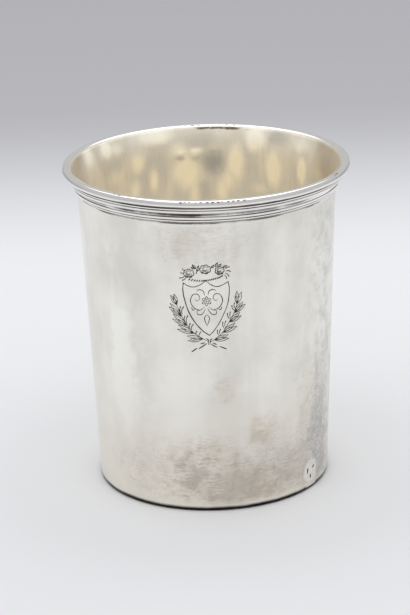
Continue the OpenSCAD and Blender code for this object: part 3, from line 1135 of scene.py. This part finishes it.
lipWire = {
    "steps": 720,
    "wobble": 0.03,
    "wobbleSize": (6.0, 6.0),
    "filedFrom": 86.0,    # height over which the file has been
    "edge": 0.5,          # radii of the top edge and of the face, and where one turns into the other
    "face": 2.4,
    "tilt": 25.0,
    # degrees from the front where the file slipped, how many nicks, how far out
    "nicks": ((-11.5, 15.0, 13, 37.72), (166.0, 190.0, 9, 36.15), (-40.0, -36.0, 2, 37.4),
              (60.0, 66.0, 2, 37.4)),
    "nickSize": (0.58, 0.16, 0.05),   # along, across, deep
    "nickReach": 2.0,
    # where the painted shade and grime under the lip and the gilding end, in height and out from the axis
    "shadeTop": (85.55, 85.9),
    "shadeFrom": (36.0, 37.0),
    "giltTop": (86.75, 87.1),
    "giltOut": (36.0, 36.4),
}


def drawLip():  # a tight top edge over a nearly flat face; the gilded side runs straight down to the lining
    inner, outer = cup["lipRadius"] - cup["lipWidth"], cup["lipRadius"]
    innerRound, edge, face = (cup["lipHeight"] + cup["lipFiled"]) / 2, lipWire["edge"], lipWire["face"]
    tilt = math.radians(lipWire["tilt"])
    under = cup["height"] - cup["lipHeight"]
    widest = cup["height"] - edge - (face - edge) * math.sin(tilt)
    turned = (outer - face + (face - edge) * math.cos(tilt), widest + (face - edge) * math.sin(tilt))
    bm, first = startPen(inner, under)
    pen = lineTo(bm, first, outer - (widest - under), under, 2)
    pen = arcTo(bm, pen, (outer - (widest - under), widest), math.pi / 2, 6)
    pen = arcTo(bm, pen, (outer - face, widest), tilt, 5)
    pen = arcTo(bm, pen, turned, math.pi / 2 - tilt, 7)
    pen = lineTo(bm, pen, inner + innerRound, cup["height"])
    pen = arcTo(bm, pen, (inner + innerRound, cup["height"] - innerRound), math.pi / 2, 10)
    joinPen(bm, pen, first)
    return bm


lipGap = cup["jointGap"], cup["backAngle"] - cup["stagger"], cup["lipRadius"]
bm = drawLip()
turnSection(bm, lipWire["steps"], *lipGap)
grimedAndShaded, gilt = addLayers(bm, "grimeAndShade", "gilt")
nickPlaces = []
for start, stop, count, out in lipWire["nicks"]:
    for index in range(count):
        jitter = noise.noise((index * 3.7 + start, 0.5, 0.2))
        nickPlaces.append((start + (stop - start) * (index + 0.5 + 0.6 * jitter) / count, out + 0.1 * jitter,
                           1.05 + 0.3 * noise.noise((index * 2.3, start, 0.7))))
nickLong, nickWide, nickDeep = lipWire["nickSize"]
for vert in bm.verts:
    z, out = vert.co.z / mm, vert.co.xy.length / mm
    # painted shade and grime low on the lip's outer side, over the moulding
    vert[grimedAndShaded] = (1 - smoothStep(*lipWire["shadeTop"], z)) * smoothStep(*lipWire["shadeFrom"], out)
    vert[gilt] = (1 - smoothStep(*lipWire["giltTop"], z)) * (1 - smoothStep(*lipWire["giltOut"], out))
    if z < lipWire["filedFrom"]:
        continue
    shift = (wobble(vert.co, *lipWire["wobbleSize"], 5.0) - 1) * lipWire["wobble"]
    turn = fromFront(vert.co)
    for at, far, size in nickPlaces:
        off = math.radians((turn - at + 180) % 360 - 180) * out
        if abs(off) < lipWire["nickReach"]:
            inNick = size * math.exp(-(off / nickLong) ** 2 - ((out - far) / nickWide) ** 2)
            shift -= nickDeep * inNick
            # a nick is darkened with painted shade
            vert[grimedAndShaded] = max(vert[grimedAndShaded], min(1.0, inNick))
    vert.co.z += shift * mm
finishPiece(bm, "lipWire", rimSilver, "lip_wire", sharp=60.0)

makeJoint(drawLip, *lipGap, "lipJoint", "lip_joint")

bedInside, bedOutside = seatRadius(cup["sheet"]), onStrip(0, moulding["strip"])[0]
bm, first = startPen(bedInside, seatZ)
joinPen(bm, linesTo(bm, first, (bedOutside, seatZ), (bedOutside, seatZ + cup["jointGap"]),
                    (bedInside, seatZ + cup["jointGap"])), first)
turnSection(bm, lipWire["steps"])
finishPiece(bm, "lipSolder", solder, "lip_solder")

giltLining = {
    "thick": 0.15,
    "top": 86.75,
    "steps": 320,
    "rings": (8, 110),    # behind and in front
    "wobble": 0.22,
    "wobbleSize": (4.6, 9.0),
    "dents": ((12.1, 79.7, 1.5, 0.4), (5.0, 79.3, 2.0, 0.5)),   # degrees from the back, height, size, depth
    "dentRadius": 33.0,   # of the lining there
    "clear": 0.005,       # to the lip
    "topShare": 0.6,      # of its thickness, left at its upper edge
    # bright marks: painted reflections of the lights on the gold, the last two the painted highlight on the
    # dents' upper side; grey marks: where the gold has gone, the first two the painted shade on the dents'
    # lower side. Degrees from the back, height, half sizes, strength
    "goldAndSheen": ((22.6, 85.2, 7.5, 2.2, 0.9), (51.9, 84.6, 4.6, 2.3, 0.75), (45.2, 84.0, 4.0, 1.8, 0.5),
             (66.2, 85.0, 4.6, 3.0, 0.45), (33.9, 78.6, 4.0, 2.7, 0.6), (25.8, 73.5, 2.4, 3.7, 0.8),
             (35.9, 72.0, 3.3, 2.5, 0.5), (48.4, 76.7, 5.0, 2.4, 0.4), (13.0, 81.2, 5.4, 2.2, 0.55),
             (8.5, 75.0, 6.2, 5.6, 1.0), (5.6, 68.6, 2.9, 4.6, 0.6), (-14.6, 77.0, 4.2, 5.4, 1.0),
             (-7.8, 69.0, 2.9, 3.6, 0.65), (-11.6, 71.8, 3.6, 3.0, 0.6), (-23.7, 84.0, 5.0, 3.1, 0.8),
             (-34.3, 75.8, 4.0, 4.8, 0.95), (-51.8, 77.3, 3.3, 3.7, 1.0), (-50.1, 84.0, 5.0, 2.2, 0.5),
             (-26.7, 70.4, 4.6, 1.6, 0.4), (-66.9, 78.2, 5.3, 2.2, 0.4),
             (11.5, 80.7, 3.4, 0.7, 0.8), (4.6, 80.7, 3.6, 0.8, 0.8)),
    "worn": ((11.9, 78.9, 2.2, 0.8, 0.6), (4.6, 78.6, 2.6, 0.9, 0.45), (-3.5, 77.2, 6.5, 3.6, 0.78),
             (-35.9, 85.3, 6.4, 2.4, 0.5), (0.7, 69.0, 4.2, 4.0, 0.25), (0.0, 84.0, 9.5, 3.0, 0.24)),
    "goldAndSheenEdge": (1.6, 0.12, 0.7),      # size of their unevenness, how uneven, how soft
    "wornEdge": (1.6, 0.2, 0.6),
    "lipShade": (85.9, 86.4),          # heights of the painted shadow under the lip
    "lipShadeTurn": (-8.0, 8.0, 16.0),   # painted shadow under the lip: degrees from the back, then from there
    # painted shade in the bottom corner: its share, and the heights and radii where it ends
    "cornerShade": 0.36,
    "cornerTop": (1.9, 3.4),
    "cornerFrom": (27.0, 29.0),
    "fade": (4.0, 9.0, 79.0, 82.0),    # heights between which it is uneven
}


def drawLining():  # over the base, up the wall and over the lip's inner side
    sheet, fillet, thick = cup["sheet"], baseDisc["fillet"], giltLining["thick"]
    lipInside = cup["lipRadius"] - cup["lipWidth"] - giltLining["clear"]
    bm, first = startPen(0, baseDisc["thick"])
    ends = []
    for depth, rings in zip((0.0, thick), giltLining["rings"]):
        inset, corner = sheet + depth, fillet - depth
        level = borderTop + depth
        cornerX = wallRadius(level + corner, inset) - corner / math.cos(taper)
        pen = first if depth == 0 else bm.verts.new((0, 0, (baseDisc["thick"] + depth) * mm))
        pen = linesTo(bm, pen, (standRadius, baseDisc["thick"] + depth, 12), (borderRadius, level, 4),
                      (cornerX, level, 2))
        pen = arcTo(bm, pen, (cornerX, level + corner), math.pi / 2 - taper, 8)
        pen = lineTo(bm, pen, *bendFoot(inset), rings)
        if depth == 0:
            pen = arcTo(bm, pen, bendCentre, taper - flare, 8)
            ends.append(linesTo(bm, pen, (seatRadius(inset), seatZ), (lipInside, seatZ + cup["jointGap"]),
                                (lipInside, giltLining["top"])))
        else:
            rise = Vector((lipInside - thick * giltLining["topShare"], giltLining["top"])) - bendFoot(inset)
            turn = 2 * (math.atan2(rise.x, rise.y) - taper)
            radius = rise.length / (2 * math.sin(turn / 2))
            ends.append(arcTo(bm, pen, bendFoot(inset) + radius * outward(taper), -turn, 14))
    joinPen(bm, *ends)
    return bm


bm = drawLining()
turnSection(bm, giltLining["steps"])
grimedAndShaded, goldenAndSheen, baredAndShaded = addLayers(bm, "grimeAndShade", "goldAndSheen", "worn")
lowest, fadeFull, fadeEnd, highest = giltLining["fade"]
shadeMiddle, shadeFull, shadeEnd = giltLining["lipShadeTurn"]
for vert in bm.verts:
    z, radius = vert.co.z / mm, vert.co.xy.length / mm
    inside = radius < wallRadius(z, cup["sheet"] + giltLining["thick"] / 2) or z > neckZ - 2
    fromBack = math.degrees(math.atan2(-vert.co.x, vert.co.y))
    # painted shadow under the back of the lip, and painted shade in the bottom corner
    underLip = smoothStep(*giltLining["lipShade"], z)
    underLip *= 1 - smoothStep(shadeFull, shadeEnd, abs(fromBack - shadeMiddle))
    inCorner = (1 - smoothStep(*giltLining["cornerTop"], z)) * smoothStep(*giltLining["cornerFrom"], radius)
    vert[grimedAndShaded] = underLip + giltLining["cornerShade"] * inCorner
    if not inside or z < lowest:
        continue
    vert[goldenAndSheen] = inMarks(vert, fromBack, giltLining["goldAndSheen"], *giltLining["goldAndSheenEdge"])
    vert[baredAndShaded] = inMarks(vert, fromBack, giltLining["worn"], *giltLining["wornEdge"])
    if z > highest:
        continue
    fade = smoothStep(lowest, fadeFull, z) * (1 - smoothStep(fadeEnd, highest, z))
    shift = (wobble(vert.co, *giltLining["wobbleSize"], 1.0) - 0.5) * giltLining["wobble"] * fade
    for turn, height, size, depth in giltLining["dents"]:
        away = math.hypot(math.radians(fromBack - turn) * giltLining["dentRadius"], z - height) / size
        shift -= depth * math.exp(-away * away * 2) * smoothStep(0.0, 1.0, vert.co.y / mm)
    moveOut(vert, shift)
finishPiece(bm, "giltLining", gilding, "gilt_lining", sharp=60.0)

# floor, light and camera
studio = {
    # the floor's colour holds painted light and shade: a shade darker in front, lightest just behind the cup,
    # much darker far behind it where the light falls off, and lighter round the foot
    "frontFloor": (0.737, 0.743, 0.761, 1),
    "nearFloor": (0.78, 0.787, 0.805, 1),
    "farFloor": (0.433, 0.43, 0.453, 1),
    "floorRise": (-0.06, 0.12),     # metres behind the cup
    "floorFade": (0.17, 0.40),
    "footGlow": (0.03, 0.06),       # metres out, where the cup throws light back on the floor
    "glow": (0.83, 0.833, 0.84, 1),
    "glowShare": 0.7,
    "floorRoughness": 0.7,
    "floorRadius": 4.0,
    "floorSides": 96,
    "world": (0.975, 0.985, 1.0, 1),
    "worldStrength": 0.55,
    "lamps": (((0.0, -0.025, 0.85), (1.5, 1.85), 9.4),),   # place, width and depth, watts
    "lampAim": (0.0, 0.0, 0.04),
}


def makeFloor():
    bm = bmesh.new()
    bmesh.ops.create_circle(bm, cap_ends=True, segments=studio["floorSides"], radius=studio["floorRadius"])
    material, tree, shader, where = startMaterial("paleFloor", metallic=0.0)
    back = place(tree, "ShaderNodeSeparateXYZ", {"Vector": where}).outputs["Y"]
    colour = mixColour(ramp(back, *studio["floorRise"]), studio["frontFloor"], studio["nearFloor"])
    colour = mixColour(ramp(back, *studio["floorFade"]), colour, studio["farFloor"])
    out = place(tree, "ShaderNodeVectorMath", {0: where}, operation="LENGTH").outputs["Value"]
    colour = mixColour(ramp(out, *studio["footGlow"], studio["glowShare"], 0.0), colour, studio["glow"])
    tree.links.new(colour, shader.inputs["Base Color"])
    shader.inputs["Roughness"].default_value = studio["floorRoughness"]
    addMesh(bm, "studioFloor", material)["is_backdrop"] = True


def makeLight():
    world = bpy.data.worlds.new("softRoom")
    world.use_nodes = True
    sky = world.node_tree.nodes["Background"]
    sky.inputs["Color"].default_value = studio["world"]
    sky.inputs["Strength"].default_value = studio["worldStrength"]
    bpy.context.scene.world = world
    for index, (spot, size, watts) in enumerate(studio["lamps"]):
        lamp = bpy.data.lights.new("softbox%d" % index, "AREA")
        lamp.shape = "RECTANGLE"
        lamp.size, lamp.size_y = size
        lamp.energy = watts
        holder = addObject(lamp.name, lamp)
        holder.location = spot
        aim = Vector(studio["lampAim"]) - Vector(spot)
        holder.rotation_euler = aim.to_track_quat("-Z", "Y").to_euler()


view = {
    "focal": 2483.6,      # in pixels of a picture 615 high
    "pictureHeight": 615,
    "sensor": 36.0,
    "distance": 0.66891,
    "elevation": 19.22,
    "roll": 1.649,
    "aim": (-0.00133, 0.0, 0.04611),
}


def makeCamera():
    lens = bpy.data.cameras.new("photoCamera")
    lens.sensor_width = view["sensor"]
    lens.lens = view["focal"] / view["pictureHeight"] * lens.sensor_width
    camera = addObject("photoCamera", lens)
    tilt = math.radians(view["elevation"])
    back = Vector((0, -math.cos(tilt), math.sin(tilt)))
    level = (-back).to_track_quat("-Z", "Y").to_matrix()
    camera.location = Vector(view["aim"]) + back * view["distance"]
    rolled = Matrix.Rotation(-math.radians(view["roll"]), 3, back) @ level
    camera.rotation_euler = rolled.to_euler()
    bpy.context.scene.camera = camera


makeFloor()
makeLight()
makeCamera()
bpy.context.scene.view_settings.view_transform = "Standard"
print("studio ready")

low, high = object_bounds()
